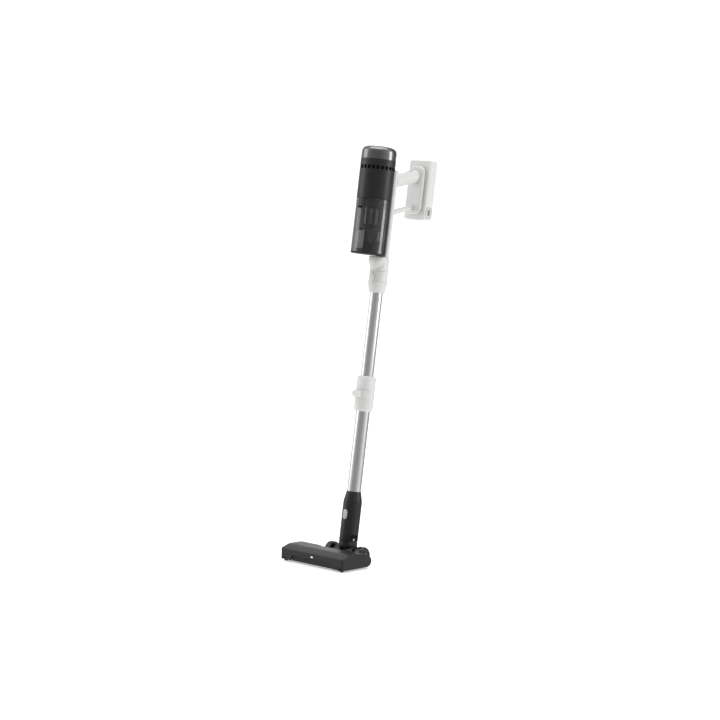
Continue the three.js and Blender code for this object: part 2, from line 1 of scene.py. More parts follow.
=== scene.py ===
"""Cordless stick vacuum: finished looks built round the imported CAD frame."""

import json
import math

import bpy
from mathutils import Matrix, Vector


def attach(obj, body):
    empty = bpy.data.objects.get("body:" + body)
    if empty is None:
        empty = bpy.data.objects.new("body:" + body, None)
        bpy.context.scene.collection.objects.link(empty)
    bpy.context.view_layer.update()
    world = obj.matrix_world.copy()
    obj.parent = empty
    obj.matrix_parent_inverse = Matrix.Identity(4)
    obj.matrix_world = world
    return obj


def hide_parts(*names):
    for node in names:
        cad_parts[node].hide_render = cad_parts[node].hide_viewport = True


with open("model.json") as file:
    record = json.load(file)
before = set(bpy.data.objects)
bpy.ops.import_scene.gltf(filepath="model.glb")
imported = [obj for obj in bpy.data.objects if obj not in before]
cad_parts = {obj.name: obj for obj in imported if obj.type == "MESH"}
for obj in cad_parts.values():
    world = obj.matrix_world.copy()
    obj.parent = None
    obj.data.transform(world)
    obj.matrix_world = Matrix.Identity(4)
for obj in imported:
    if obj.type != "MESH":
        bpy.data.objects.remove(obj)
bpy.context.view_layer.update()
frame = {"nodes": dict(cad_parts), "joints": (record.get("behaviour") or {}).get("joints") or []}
MM = 0.001


# ---------------------------------------------------------------- places, read from the frame's joints
JOINT = {j["name"]: j for j in frame["joints"]}
PIVOT = Vector(JOINT["head_pitch"]["pos_m"])
STICK_UP = Vector(JOINT["telescope"]["axis"]).normalized()
STICK_X = Vector((1, 0, 0))
STICK_BACK = STICK_UP.cross(STICK_X)
STICK = Matrix((STICK_X, STICK_BACK, STICK_UP)).transposed().to_4x4()
STICK.translation = PIVOT
HEAD = Matrix.Translation((0, PIVOT.y, 0))

# Driving sizes in millimetres, the same as the solids'.
CAN_T, CAN_R, WALL = -49.0, 45.8, 2.2
HEAD_HALF, HEAD_TOP, CAP_T = 113.5, 43.0, 4.0
PIVOT_Z = PIVOT.z / MM
BOX_HALF, BOX_LOW, BOX_HIGH = 36.3, 893.0, 1049.0


# ---------------------------------------------------------------- materials
class Mat:
    """A small builder for node materials: a Principled shader with object-space textures."""

    def __init__(self, name, **inputs):
        self.material = bpy.data.materials.new(name)
        self.material.use_nodes = True
        self.tree = self.material.node_tree
        self.shader = self.tree.nodes["Principled BSDF"]
        for key, value in inputs.items():
            self.shader.inputs[key.replace("_", " ")].default_value = value
        self.coords = self.tree.nodes.new("ShaderNodeTexCoord").outputs["Object"]

    def node(self, kind, **values):
        made = self.tree.nodes.new(kind)
        for key, value in values.items():
            if key in made.inputs:
                made.inputs[key].default_value = value
            else:
                setattr(made, key, value)
        return made

    def link(self, a, b):
        self.tree.links.new(a, b)

    def noise(self, scale, detail=4.0, stretch=(1, 1, 1)):
        mapping = self.node("ShaderNodeMapping")
        mapping.inputs["Scale"].default_value = stretch
        self.link(self.coords, mapping.inputs["Vector"])
        noise = self.node("ShaderNodeTexNoise", Scale=scale, Detail=detail)
        self.link(mapping.outputs["Vector"], noise.inputs["Vector"])
        return noise.outputs["Fac"]

    def spread(self, value, low, high):
        ranged = self.node("ShaderNodeMapRange")
        self.link(value, ranged.inputs["Value"])
        for key, number in (("From Min", 0.3), ("From Max", 0.7), ("To Min", low), ("To Max", high)):
            ranged.inputs[key].default_value = number
        return ranged.outputs["Result"]

    def tint(self, value, dark, light):
        mix = self.node("ShaderNodeMix", data_type="RGBA")
        self.link(self.spread(value, 0.0, 1.0), mix.inputs["Factor"])
        mix.inputs["A"].default_value = (*dark, 1)
        mix.inputs["B"].default_value = (*light, 1)
        self.link(mix.outputs["Result"], self.shader.inputs["Base Color"])
        return self

    def rough(self, value, low, high):
        self.link(self.spread(value, low, high), self.shader.inputs["Roughness"])
        return self

    def bump(self, value, strength, distance=0.0002):
        bump = self.node("ShaderNodeBump", Strength=strength, Distance=distance)
        self.link(value, bump.inputs["Height"])
        self.link(bump.outputs["Normal"], self.shader.inputs["Normal"])
        return self


def moulded(name, dark, light, rough, grain=2600.0, bump=0.25, **inputs):
    """Injection-moulded plastic: fine spark texture, faint mottling, slightly uneven gloss."""
    mat = Mat(name, **inputs)
    mat.tint(mat.noise(38.0, 3.0), dark, light)
    mat.rough(mat.noise(90.0, 5.0), *rough)
    mat.bump(mat.noise(grain, 2.0), bump, 0.00012)
    return mat.material


def metal(name, dark, light, rough, stretch, bump=0.12):
    mat = Mat(name, Metallic=1.0)
    mat.tint(mat.noise(60.0, 3.0), dark, light)
    brushed = mat.noise(900.0, 3.0, stretch)
    mat.rough(brushed, *rough)
    mat.bump(brushed, bump, 0.00006)
    return mat.material


def smoky_clear():
    mat = Mat("smoky_clear", Roughness=0.03, IOR=1.6)
    mat.shader.inputs["Transmission Weight"].default_value = 1.0
    mat.tint(mat.noise(24.0, 2.0), (0.52, 0.525, 0.535), (0.56, 0.565, 0.575))
    mat.rough(mat.noise(70.0, 5.0), 0.02, 0.06)
    mat.bump(mat.noise(900.0, 2.0), 0.02, 0.00002)
    return mat.material


def glow_lens():
    mat = Mat("headlamp_lens", Roughness=0.08)
    mat.tint(mat.noise(300.0, 2.0), (0.80, 0.83, 0.88), (0.95, 0.96, 0.98))
    mat.shader.inputs["Emission Color"].default_value = (1.0, 0.98, 0.94, 1)
    mat.shader.inputs["Emission Strength"].default_value = 0.12
    mat.bump(mat.noise(1500.0, 1.0), 0.1)
    return mat.material


def striped(name, dark, light, rough, count):
    """Fine parallel ribs across the piece, for bristle, mesh and pleats."""
    mat = Mat(name)
    wave = mat.node("ShaderNodeTexWave", Scale=count, Distortion=0.6)
    wave.bands_direction = "DIAGONAL"
    mat.link(mat.coords, wave.inputs["Vector"])
    mat.tint(wave.outputs["Fac"], dark, light)
    mat.rough(mat.noise(400.0, 4.0), *rough)
    mat.bump(wave.outputs["Fac"], 0.5, 0.0004)
    return mat.material


MATS = {
    "dark": moulded("dark_plastic", (0.010, 0.0102, 0.011), (0.013, 0.0132, 0.014), (0.34, 0.44), IOR=1.46),
    "deep": moulded("deep_plastic", (0.006, 0.006, 0.007), (0.009, 0.009, 0.010), (0.40, 0.50)),
    "black": moulded("black_gloss", (0.006, 0.006, 0.007), (0.010, 0.010, 0.011), (0.12, 0.2), bump=0.05),
    "white": moulded("white_plastic", (0.64, 0.636, 0.624), (0.67, 0.666, 0.654), (0.3, 0.4), bump=0.12),
    "light": moulded("light_grey_plastic", (0.42, 0.43, 0.44), (0.48, 0.49, 0.50), (0.28, 0.38), bump=0.1),
    "grey": moulded("seam_grey", (0.20, 0.20, 0.20), (0.26, 0.26, 0.26), (0.5, 0.6)),
    "rubber": moulded("soft_rubber", (0.012, 0.012, 0.012), (0.020, 0.020, 0.020), (0.62, 0.8), 1400.0, 0.4),
    "felt": moulded("felt", (0.05, 0.05, 0.053), (0.10, 0.10, 0.105), (0.9, 1.0), 900.0, 1.0),
    "paper": striped("filter_paper", (0.60, 0.57, 0.50), (0.78, 0.75, 0.68), (0.85, 0.95), 180.0),
    "mesh": metal("fine_mesh", (0.22, 0.22, 0.225), (0.40, 0.40, 0.405), (0.34, 0.46), (14, 14, 14), 0.3),
    "bristle": striped("bristle", (0.10, 0.11, 0.13), (0.26, 0.28, 0.31), (0.8, 0.95), 420.0),
    "tube": metal("tube_metal", (0.70, 0.70, 0.70), (0.76, 0.76, 0.76), (0.24, 0.32), (40, 40, 0.6)),
    "gunmetal": metal("gunmetal", (0.19, 0.192, 0.196), (0.21, 0.212, 0.216), (0.16, 0.20), (1, 1, 14), 0.03),
    "steel": metal("steel", (0.52, 0.53, 0.54), (0.60, 0.61, 0.62), (0.22, 0.34), (1, 14, 14)),
    "copper": moulded("cell_wrap", (0.03, 0.15, 0.32), (0.04, 0.19, 0.38), (0.3, 0.4)),
    # Near-black with weak reflections: painted shade for the bottoms of the neck recesses; the exhaust foam is
    # given the same near-black.
    "recess": moulded("painted_recess_shade", (0.003, 0.003, 0.003), (0.005, 0.005, 0.005), (0.8, 0.9),
        Specular_IOR_Level=0.25),
    "clear": smoky_clear(),
    "lens": glow_lens(),
}


# ---------------------------------------------------------------- meshes
def finish_mesh(name, verts, faces, matrix, mat, body, replaces=(), slot=None, bevel=0.0, angle=30.0,
        segments=3):
    """Makes one object from millimetre vertices, puts it on its body and softens its edges."""
    mesh = bpy.data.meshes.new(name)
    mesh.from_pydata([matrix @ (Vector(v) * MM) for v in verts], [], faces)
    mesh.update()
    obj = bpy.data.objects.new(name, mesh)
    bpy.context.scene.collection.objects.link(obj)
    clean_mesh(mesh)
    mesh.polygons.foreach_set("use_smooth", [True] * len(mesh.polygons))
    mesh.set_sharp_from_angle(angle=math.radians(angle))
    mesh.materials.append(MATS[mat])
    if bevel:
        soften = obj.modifiers.new("edge", "BEVEL")
        soften.width = bevel * MM
        soften.segments = segments
        soften.limit_method = "ANGLE"
        soften.angle_limit = math.radians(angle)
        soften.harden_normals = True
    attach(obj, body)
    if replaces:
        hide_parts(*replaces)
    return obj


def clean_mesh(mesh):
    import bmesh

    bm = bmesh.new()
    bm.from_mesh(mesh)
    bmesh.ops.remove_doubles(bm, verts=bm.verts, dist=1e-6)
    bmesh.ops.recalc_face_normals(bm, faces=bm.faces)
    bm.to_mesh(mesh)
    bm.free()


def rounded(points, radii, closed=True, steps=5):
    """A polygon with its corners replaced by arcs; radii is one number or one per point."""
    count = len(points)
    if not isinstance(radii, (list, tuple)):
        radii = [radii] * count
    out = []
    for i, (point, radius) in enumerate(zip(points, radii)):
        here = Vector(point)
        if radius <= 0 or (not closed and i in (0, count - 1)):
            out.append(tuple(here))
            continue
        before, after = Vector(points[i - 1]) - here, Vector(points[(i + 1) % count]) - here
        reach = min(radius, before.length * 0.49, after.length * 0.49)
        a, b = here + before.normalized() * reach, here + after.normalized() * reach
        for k in range(steps + 1):
            u = k / steps
            out.append(tuple(a * (1 - u) ** 2 + here * 2 * u * (1 - u) + b * u**2))
    return out


def lathe_data(profile, segs=96, centre=(0.0, 0.0), start=0.0, sweep=360.0):
    """Vertices and faces of a closed profile of (radius, height) turned about the local Z axis.

    Angles count from the front (-Y) towards +X; a sweep under a full turn is closed with end faces."""
    full = sweep >= 360.0
    rings = segs if full else segs + 1
    verts, faces = [], []
    for i in range(rings):
        a = math.radians(start + sweep * i / segs)
        verts += [(centre[0] + r * math.sin(a), centre[1] - r * math.cos(a), z) for r, z in profile]
    n = len(profile)
    for i in range(segs):
        j = (i + 1) % rings
        for k in range(n):
            m = (k + 1) % n
            faces.append((i * n + k, j * n + k, j * n + m, i * n + m))
    if not full:
        faces.append(tuple(range(n)))
        faces.append(tuple(reversed(range((rings - 1) * n, rings * n))))
    return verts, faces


def turned(name, profile, mat, body, matrix=STICK, radius=0.6, segs=96, centre=(0.0, 0.0), start=0.0,
        sweep=360.0, **more):
    verts, faces = lathe_data(rounded(profile, radius), segs, centre, start, sweep)
    return finish_mesh(name, verts, faces, matrix, mat, body, angle=40.0, **more)


def prism_data(points, low, high, axis):
    """A closed outline swept along an axis: the outline's two coordinates are the other two axes in order."""
    place = {
        "x": lambda p, h: (h, p[0], p[1]),
        "y": lambda p, h: (p[0], h, p[1]),
        "z": lambda p, h: (p[0], p[1], h),
    }[axis]
    n = len(points)
    verts = [place(p, low) for p in points] + [place(p, high) for p in points]
    faces = [tuple(range(n)), tuple(reversed(range(n, 2 * n)))]
    faces += [(i, (i + 1) % n, n + (i + 1) % n, n + i) for i in range(n)]
    return verts, faces


def prism(name, points, span, axis, mat, body, matrix=STICK, **more):
    verts, faces = prism_data(points, span[0], span[1], axis)
    return finish_mesh(name, verts, faces, matrix, mat, body, **more)


def slab_outline(half_a, half_b, r, centre=(0.0, 0.0), steps=8):
    out = []
    for sa, sb, first in ((1, -1, -90), (1, 1, 0), (-1, 1, 90), (-1, -1, 180)):
        for k in range(steps + 1):
            a = math.radians(first + 90 * k / steps)
            out.append((centre[0] + sa * (half_a - r) + r * math.cos(a),
                centre[1] + sb * (half_b - r) + r * math.sin(a)))
    return out


def carve(obj, name, verts, faces, matrix=STICK):
    """Cuts a closed shape out of a piece now, while the scene is built, and forgets the cutter."""
    mesh = bpy.data.meshes.new(name)
    mesh.from_pydata([matrix @ (Vector(v) * MM) for v in verts], [], faces)
    clean_mesh(mesh)
    cutter = bpy.data.objects.new(name, mesh)
    bpy.context.scene.collection.objects.link(cutter)
    edge = obj.modifiers.get("edge")
    settings = None
    if edge:
        settings = (edge.width, edge.segments, edge.angle_limit)
        obj.modifiers.remove(edge)
    cut = obj.modifiers.new("cut", "BOOLEAN")
    cut.operation = "DIFFERENCE"
    cut.solver = "EXACT"
    cut.object = cutter
    graph = bpy.context.evaluated_depsgraph_get()
    result = bpy.data.meshes.new_from_object(obj.evaluated_get(graph))
    obj.modifiers.remove(cut)
    old = obj.data
    obj.data = result
    bpy.data.meshes.remove(old)
    bpy.data.objects.remove(cutter)
    bpy.data.meshes.remove(mesh)
    result.name = obj.name
    result.polygons.foreach_set("use_smooth", [True] * len(result.polygons))
    result.set_sharp_from_angle(angle=math.radians(35))
    if settings:
        edge = obj.modifiers.new("edge", "BEVEL")
        edge.width, edge.segments, edge.angle_limit = settings
        edge.limit_method = "ANGLE"
        edge.harden_normals = True
    return obj


def ring(r_out, r_in, low, high):
    return [(r_out, low), (r_out, high), (r_in, high), (r_in, low)]


def bar_data(axis, r, low, high, centre=(0.0, 0.0), segs=48):
    points = [(centre[0] + r * math.cos(2 * math.pi * i / segs),
        centre[1] + r * math.sin(2 * math.pi * i / segs)) for i in range(segs)]
    return prism_data(points, low, high, axis)


def moved(verts, matrix):
    return [tuple(matrix @ Vector(v)) for v in verts]


# ---------------------------------------------------------------- floor head
SIDE = rounded(
    [(-130, 4.5), (-130, 34.4), (-102.5, HEAD_TOP), (-75, HEAD_TOP), (-56, 42.3), (-32, 34), (-24, 25),
        (-24, 15), (-29, 7.5), (-38, 4.5)],
    [3, 2.2, 2.2, 4, 6, 3, 4, 4, 4, 4], steps=6,
)
SIDE_IN = rounded(
    [(-127.4, 2), (-127.4, 33), (-102, 40.4), (-75, 40.4), (-57, 39.8), (-34, 31.8), (-27, 24.2), (-27, 16),
        (-31, 2)],
    [0, 2, 2, 2, 3, 2, 2, 2, 0],
)
NOTCH = rounded([(-62, -10), (-62, -40), (-34, -66), (34, -66), (62, -40), (62, -10)], [0, 9, 9, 9, 9, 0],
    steps=8)


def floor_head():
    body = "head"
    hood = prism("hood", SIDE, (-HEAD_HALF + CAP_T, HEAD_HALF - CAP_T), "x", "dark", body, HEAD,
        replaces=["head_housing"], slot="dark_plastic")
    cutters = [
        prism_data(SIDE_IN, -HEAD_HALF, HEAD_HALF, "x"),
        prism_data(rounded([(-76, -2), (-76, 19.5), (76, 19.5), (76, -2)], [0, 6, 6, 0]), -140, -120, "y"),
        prism_data(slab_outline(10, 4, 3.9, (0, 25)), -140, -120, "y"),
        prism_data(NOTCH, 25.4, 65.4, "z"),
        prism_data([(-43.3, -60), (43.3, -60), (43.3, -10), (-43.3, -10)], 0, 32, "z"),
        prism_data([(-108.5, -2), (-108.5, 10.4), (-96, 10.4), (-96, -2)], -140, -117, "y"),
        prism_data([(96, -2), (96, 10.4), (108.5, 10.4), (108.5, -2)], -140, -117, "y"),
    ]
    for i, (verts, faces) in enumerate(cutters):
        carve(hood, f"hood_cut_{i}", verts, faces, HEAD)
    edge = hood.modifiers.new("edge", "BEVEL")
    edge.width, edge.segments, edge.limit_method, edge.angle_limit = 0.5 * MM, 2, "ANGLE", math.radians(40)
    edge.harden_normals = True

    for side, word in ((-1, "left"), (1, "right")):
        span = sorted((side * (HEAD_HALF - CAP_T + 0.3), side * HEAD_HALF))
        prism(f"side_cap_{word}", SIDE, span, "x", "dark", body, HEAD, replaces=[f"end_cap_{word}"],
            slot="dark_plastic",
                    bevel=2.4, segments=4, angle=50)
    prism("mouth_strip", slab_outline(75, 7, 1.5, (0, 12.2)), (-127.2, -125.6), "y", "rubber", body, HEAD,
        replaces=["front_strip"], bevel=0.4)
    prism("lamp_bezel", slab_outline(9.6, 3.6, 3.5, (0, 25)), (-129.6, -127.4), "y", "black", body, HEAD,
        replaces=["lamp_lens"], bevel=0.8, angle=50)
    prism("lamp_face", slab_outline(4.2, 2.0, 1.9, (0, 25)), (-129.9, -129.3), "y", "lens", body, HEAD,
        bevel=0.25, angle=50)
    for side, word in ((-1, "left"), (1, "right")):
        wheel(side, word)
        small = HEAD @ Matrix.Translation((side * 102.4 * MM, -122.4 * MM,
            5 * MM)) @ Matrix.Rotation(math.radians(90), 4, "Y")
        turned(f"roller_{word}", ring(4.6, 1.72, -3.8, 3.8), "rubber", f"front_roller_{word}", small, 0.9,
            32, replaces=[f"front_roller_{word}"])


def wheel(side, word):
    matrix = HEAD @ Matrix.Translation((0, 0, PIVOT.z)) @ Matrix.Rotation(math.radians(90) * side, 4, "Y")
    profile = [(4.06, 44.5), (18.4, 44.5), (21.9, 47.5), (21.9, 53.6), (21.2, 54.2), (21.2, 55.2),
        (21.9, 55.8), (21.9, 61.6), (18.6, 65.8), (13.5, 66), (12.6, 64.6), (4.06, 64.6)]
    turned(f"tyre_{word}", profile, "black", f"wheel_{word}", matrix, 0.8, 72, replaces=[f"wheel_{word}"])


# ---------------------------------------------------------------- neck and wand
def oval_button(name, half_x, half_s, s, front, mat, body, replaces, crown=0.9):
    """An oval push button with a softly domed face standing in front of a round wall."""
    rows = 10
    verts, faces = [], []
    outline = slab_outline(half_x, half_s, min(half_x, half_s) - 0.1, (0, 0), 10)
    n = len(outline)
    for k in range(rows + 1):
        a = math.pi / 2 * k / rows
        shrink = math.cos(a)
        lift = crown * math.sin(a)
        for x, z in outline:
            px, pz = x * max(shrink, 0.02), z * max(shrink, 0.02)
            curve = front[0] - math.sqrt(max(front[0] ** 2 - px**2, 0))
            verts.append((px, -front[0] + curve - lift + crown, s + pz))
    for x, z in outline:
        verts.append((x, front[1], s + z))
    for k in range(rows):
        for i in range(n):
            j = (i + 1) % n
            faces.append((k * n + i, k * n + j, (k + 1) * n + j, (k + 1) * n + i))
    faces.append(tuple(rows * n + i for i in range(n)))
    base = (rows + 1) * n
    faces += [(i, base + i, base + (i + 1) % n, (i + 1) % n) for i in range(n)]
    faces.append(tuple(base + i for i in reversed(range(n))))
    return finish_mesh(name, verts, faces, STICK, mat, body, replaces=replaces, angle=60)


def neck():
    yoke_profile = [(0, 4), (19, 6), (24.5, 15), (24.5, 28.6), (17, 28.8), (17, 58), (0, 58)]
    verts, faces = lathe_data(rounded(yoke_profile, [0, 1, 2, 0.6, 0.2, 0.6, 0]), 96)
    yoke = finish_mesh("yoke", verts, faces, STICK, "deep", "yoke", replaces=["pitch_yoke"],
        slot="dark_plastic")
    barrel = finish_mesh("yoke_barrel", *bar_data("x", 19, -31.6, 31.6, (0, 0), 72), STICK, "deep", "yoke",
        bevel=1.5, angle=50)
    carve(yoke, "yoke_way", *bar_data("y", 12, -40, 0))
    carve(barrel, "barrel_way", *bar_data("y", 12, -40, 0))
    for i, span in enumerate(((-40, -23.6), (23.6, 40))):
        carve(barrel, f"barrel_bore_{i}", *bar_data("x", 4.06, *span))

    profile = [(24.5, 30), (24.5, 135), (18.9, 161), (18.12, 161), (18.12, 124), (15, 123), (15, 61),
        (17.2, 60), (17.2, 30)]
    shell = turned("neck_cover", profile, "dark", "neck", radius=[0.8, 5, 1.2, 0, 0, 0, 0, 0, 0],
        replaces=["neck_shell"], slot="dark_plastic")
    for side, word in ((-1, "left"), (1, "right")):
        flat = sorted((side * 18.5, side * 30))
        carve(shell, f"neck_recess_{word}", *prism_data(slab_outline(20, 14, 1, (0, 34)), *flat, "x"))
        carve(yoke, f"yoke_flat_{word}", *prism_data([(-20, 19.6), (20, 19.6), (20, 40), (-20, 40)], *flat,
            "x"))
        # A thin near-black sheet at the bottom of each side recess: painted shade for the recess.
        shade_sheet = prism_data(slab_outline(15, 8.6, 2, (0, 39)), *sorted((side * 18.2, side * 18.8)), "x")
        finish_mesh(f"neck_shade_sheet_{word}", *shade_sheet, STICK, "recess", "neck")
        pin = bar_data("x", 3.4, *sorted((side * 18.3, side * 19.6)), (0, 35))
        finish_mesh(f"neck_screw_{word}", *pin, STICK, "light", "neck", bevel=0.4, angle=50)
    carve(shell, "neck_pocket", *prism_data(slab_outline(7.7, 13.4, 7.6, (0, 100)), -30, -18.4, "y"))
    oval_button("neck_press", 7.2, 12.9, 100, (25.3, -21.0), "light", "neck_button", ["neck_button"])


def wand():
    turned("outer_tube", ring(18, 16.85, 124.5, 446), "tube", "lower_wand", radius=0.3, segs=128,
        replaces=["lower_tube"])
    turned("inner_tube", ring(16.5, 15.35, 330, 726.5), "tube", "upper_wand", radius=0.3, segs=128,
        replaces=["upper_tube"])
    profile = [(20.5, 372.5), (24.5, 377), (24.5, 460.5), (20.5, 465), (16.9, 465), (16.9, 461.2),
        (20.2, 461), (20.2, 446.6), (18.1, 446.4), (18.1, 372.5)]
    sleeve = turned("clamp_body", profile, "white", "lower_wand",
        radius=[1.5, 6, 6, 1.5, 0.4, 0, 0, 0, 0, 0.4], replaces=["clamp_sleeve"])
    carve(sleeve, "clamp_slot", *prism_data(slab_outline(3.4, 7.5, 2, (0, 414.1)), -30, -18.6, "y"))
    band = turned("clamp_band", ring(27.2, 24.8, 406.8, 428.2), "white", "clamp_slider", radius=1.0,
        segs=64, start=-70, sweep=140, replaces=["clamp_slider"])
    ledge = rounded([(-25.5, 408), (-36, 410.4), (-38, 412.6), (-38, 422), (-36, 424.2), (-25.5, 427)],
        [0, 2, 2, 2, 2, 0], steps=6)
    prism("clamp_thumb", ledge, (-11, 11), "x", "white", "clamp_slider", bevel=1.5, angle=40)
    return band


# ---------------------------------------------------------------- white main body
def body_shell():
    profile = [(20.5, 685), (24, 703), (24, 706.4), (25.3, 708), (25.3, 714), (24, 715.6), (24, 741),
        (14.5, 741), (14.5, 728), (16.7, 727), (16.7, 685)]
    collar = turned("wand_collar", profile, "white", "main_body",
        radius=[1, 2, 0.6, 0.8, 0.8, 0.6, 0.4, 0, 0, 0, 0.5], replaces=["collar"])
    carve(collar, "collar_pocket", *prism_data(slab_outline(8.1, 16.1, 8, (0, 721)), -30, -18.3, "y"))
    oval_button("wand_press", 7.6, 15.6, 721, (26.1, -20.6), "white", "wand_button", ["wand_button"])

    spine = prism("spine", slab_outline(20, 8.7, 8.2, (0, 6.3)), (765, 1008), "z", "white", "main_body",
        replaces=["spine_duct"], bevel=2.5, angle=60)
    carve(spine, "spine_inlet", *prism_data(slab_outline(13, 14, 3, (0, 836)), -8, 6, "y"))
    root = [(0, 741.4), (24, 741.4), (24, 773), (22.5, 778.5), (0, 780.4)]
    turned("spine_root", root, "white", "main_body", radius=[0, 0.4, 3, 2, 0], centre=(0, -0.6))
    belly = [(0, 741.4), (14, 741.4), (23.5, 766), (23.5, 775), (22, 779), (0, 780.4)]
    turned("spine_belly", belly, "white", "main_body", radius=[0, 0.4, 3, 1, 1, 0], centre=(0, -10))

    rise = math.atan2(1004.6 - 978.8, 92)
    length = math.hypot(92, 25.8)
    tilt = Matrix.Translation((0, 8, 978.8)) @ Matrix.Rotation(rise, 4, "X")
    verts, faces = bar_data("y", 17, 0, length, (0, 0), 96)
    grip = finish_mesh("grip", moved(verts, tilt), faces, STICK, "white", "main_body", replaces=["grip_tube"])
    carve(grip, "grip_spine", *prism_data(slab_outline(40, 22, 1, (0, -6.95)), 900, 1100, "z"))
    carve(grip, "grip_pad", *prism_data([(97.45, 800), (140, 800), (140, 1100), (97.45, 1100)], -60, 60, "x"))
    on_grip = Matrix.Translation((0, 76, 978.8 + 68 * 25.8 / 92)) @ Matrix.Rotation(rise, 4, "X")
    verts, faces = prism_data(slab_outline(5.9, 9.9, 5.8), 11.5, 24, "z")
    carve(grip, "grip_hole", moved(verts, on_grip), faces)
    verts, faces = prism_data(slab_outline(5.5, 9.5, 5.4), 12.9, 17.5, "z")
    finish_mesh("power_press", moved(verts, on_grip), faces, STICK, "light", "power_button",
        replaces=["power_button"], bevel=0.8, angle=50)

    strut_rise = math.atan2(926.8 - 894, 104)
    verts, faces = bar_data("y", 6.75, 7.2, 106.2, (0, 0), 64)
    tilt = Matrix.Translation((0, 8, 894)) @ Matrix.Rotation(strut_rise, 4, "X")
    brace = finish_mesh("brace", moved(verts, tilt), faces, STICK, "white", "main_body", replaces=["strut"])
    carve(brace, "brace_end", *prism_data([(109.5, 800), (140, 800), (140, 1100), (109.5, 1100)], -60, 60,
        "x"))


def battery():
    mid = (BOX_LOW + BOX_HIGH) / 2
    half = (BOX_HIGH - BOX_LOW) / 2
    prism("cradle_plate", slab_outline(BOX_HALF, half, 5, (0, mid)), (109.6, 114), "y", "white",
        "main_body", replaces=["cradle"], bevel=1.0, angle=60)
    prism("cradle_pad", slab_outline(26.5, 64, 18, (0, 969), 12), (97.5, 110), "y", "white", "main_body",
        bevel=5.0, segments=6, angle=60)
    shell = prism("battery_case", slab_outline(BOX_HALF, half, 5, (0, mid)), (114.4, 139), "y", "white",
        "battery", replaces=["battery_shell"], bevel=2.0, segments=4, angle=60)
    carve(shell, "case_inside", *prism_data(slab_outline(BOX_HALF - 2, half - 2, 4, (0, mid)), 112, 137, "y"))
    carve(shell, "case_windows", *prism_data(slab_outline(9.9, 13.3, 9.3, (125.4, 912)), -50, 50, "x"))
    carve(shell, "case_socket", *prism_data(slab_outline(8.3, 5, 0.5, (0, 126)), 885, 900, "z"))
    for side, word in ((-1, "left"), (1, "right")):
        span = sorted((side * 34.6, side * 36.6))
        prism(f"release_{word}", slab_outline(9.6, 13, 9, (125.4, 912)), span, "x", "white",
            f"battery_release_{word}", replaces=[f"battery_release_{word}"], bevel=0.7, angle=60)
        grip = sorted((side * 36.5, side * 37.3))
        prism(f"release_grip_{word}", slab_outline(5.4, 8.4, 5, (125.4, 912)), grip, "x", "grey",
            f"battery_release_{word}", bevel=0.4, angle=60)
        # A thin near-black ring round each release button: painted shade for the gap around the button.
        gap_shade = prism(f"release_gap_shade_{word}", slab_outline(10.7, 14.1, 10.1, (125.4, 912)),
            sorted((side * 35.6, side * 36.34)), "x", "deep", "battery")
        carve(gap_shade, f"gap_shade_hole_{word}", *prism_data(slab_outline(9.9, 13.3, 9.3, (125.4, 912)), -50, 50, "x"))


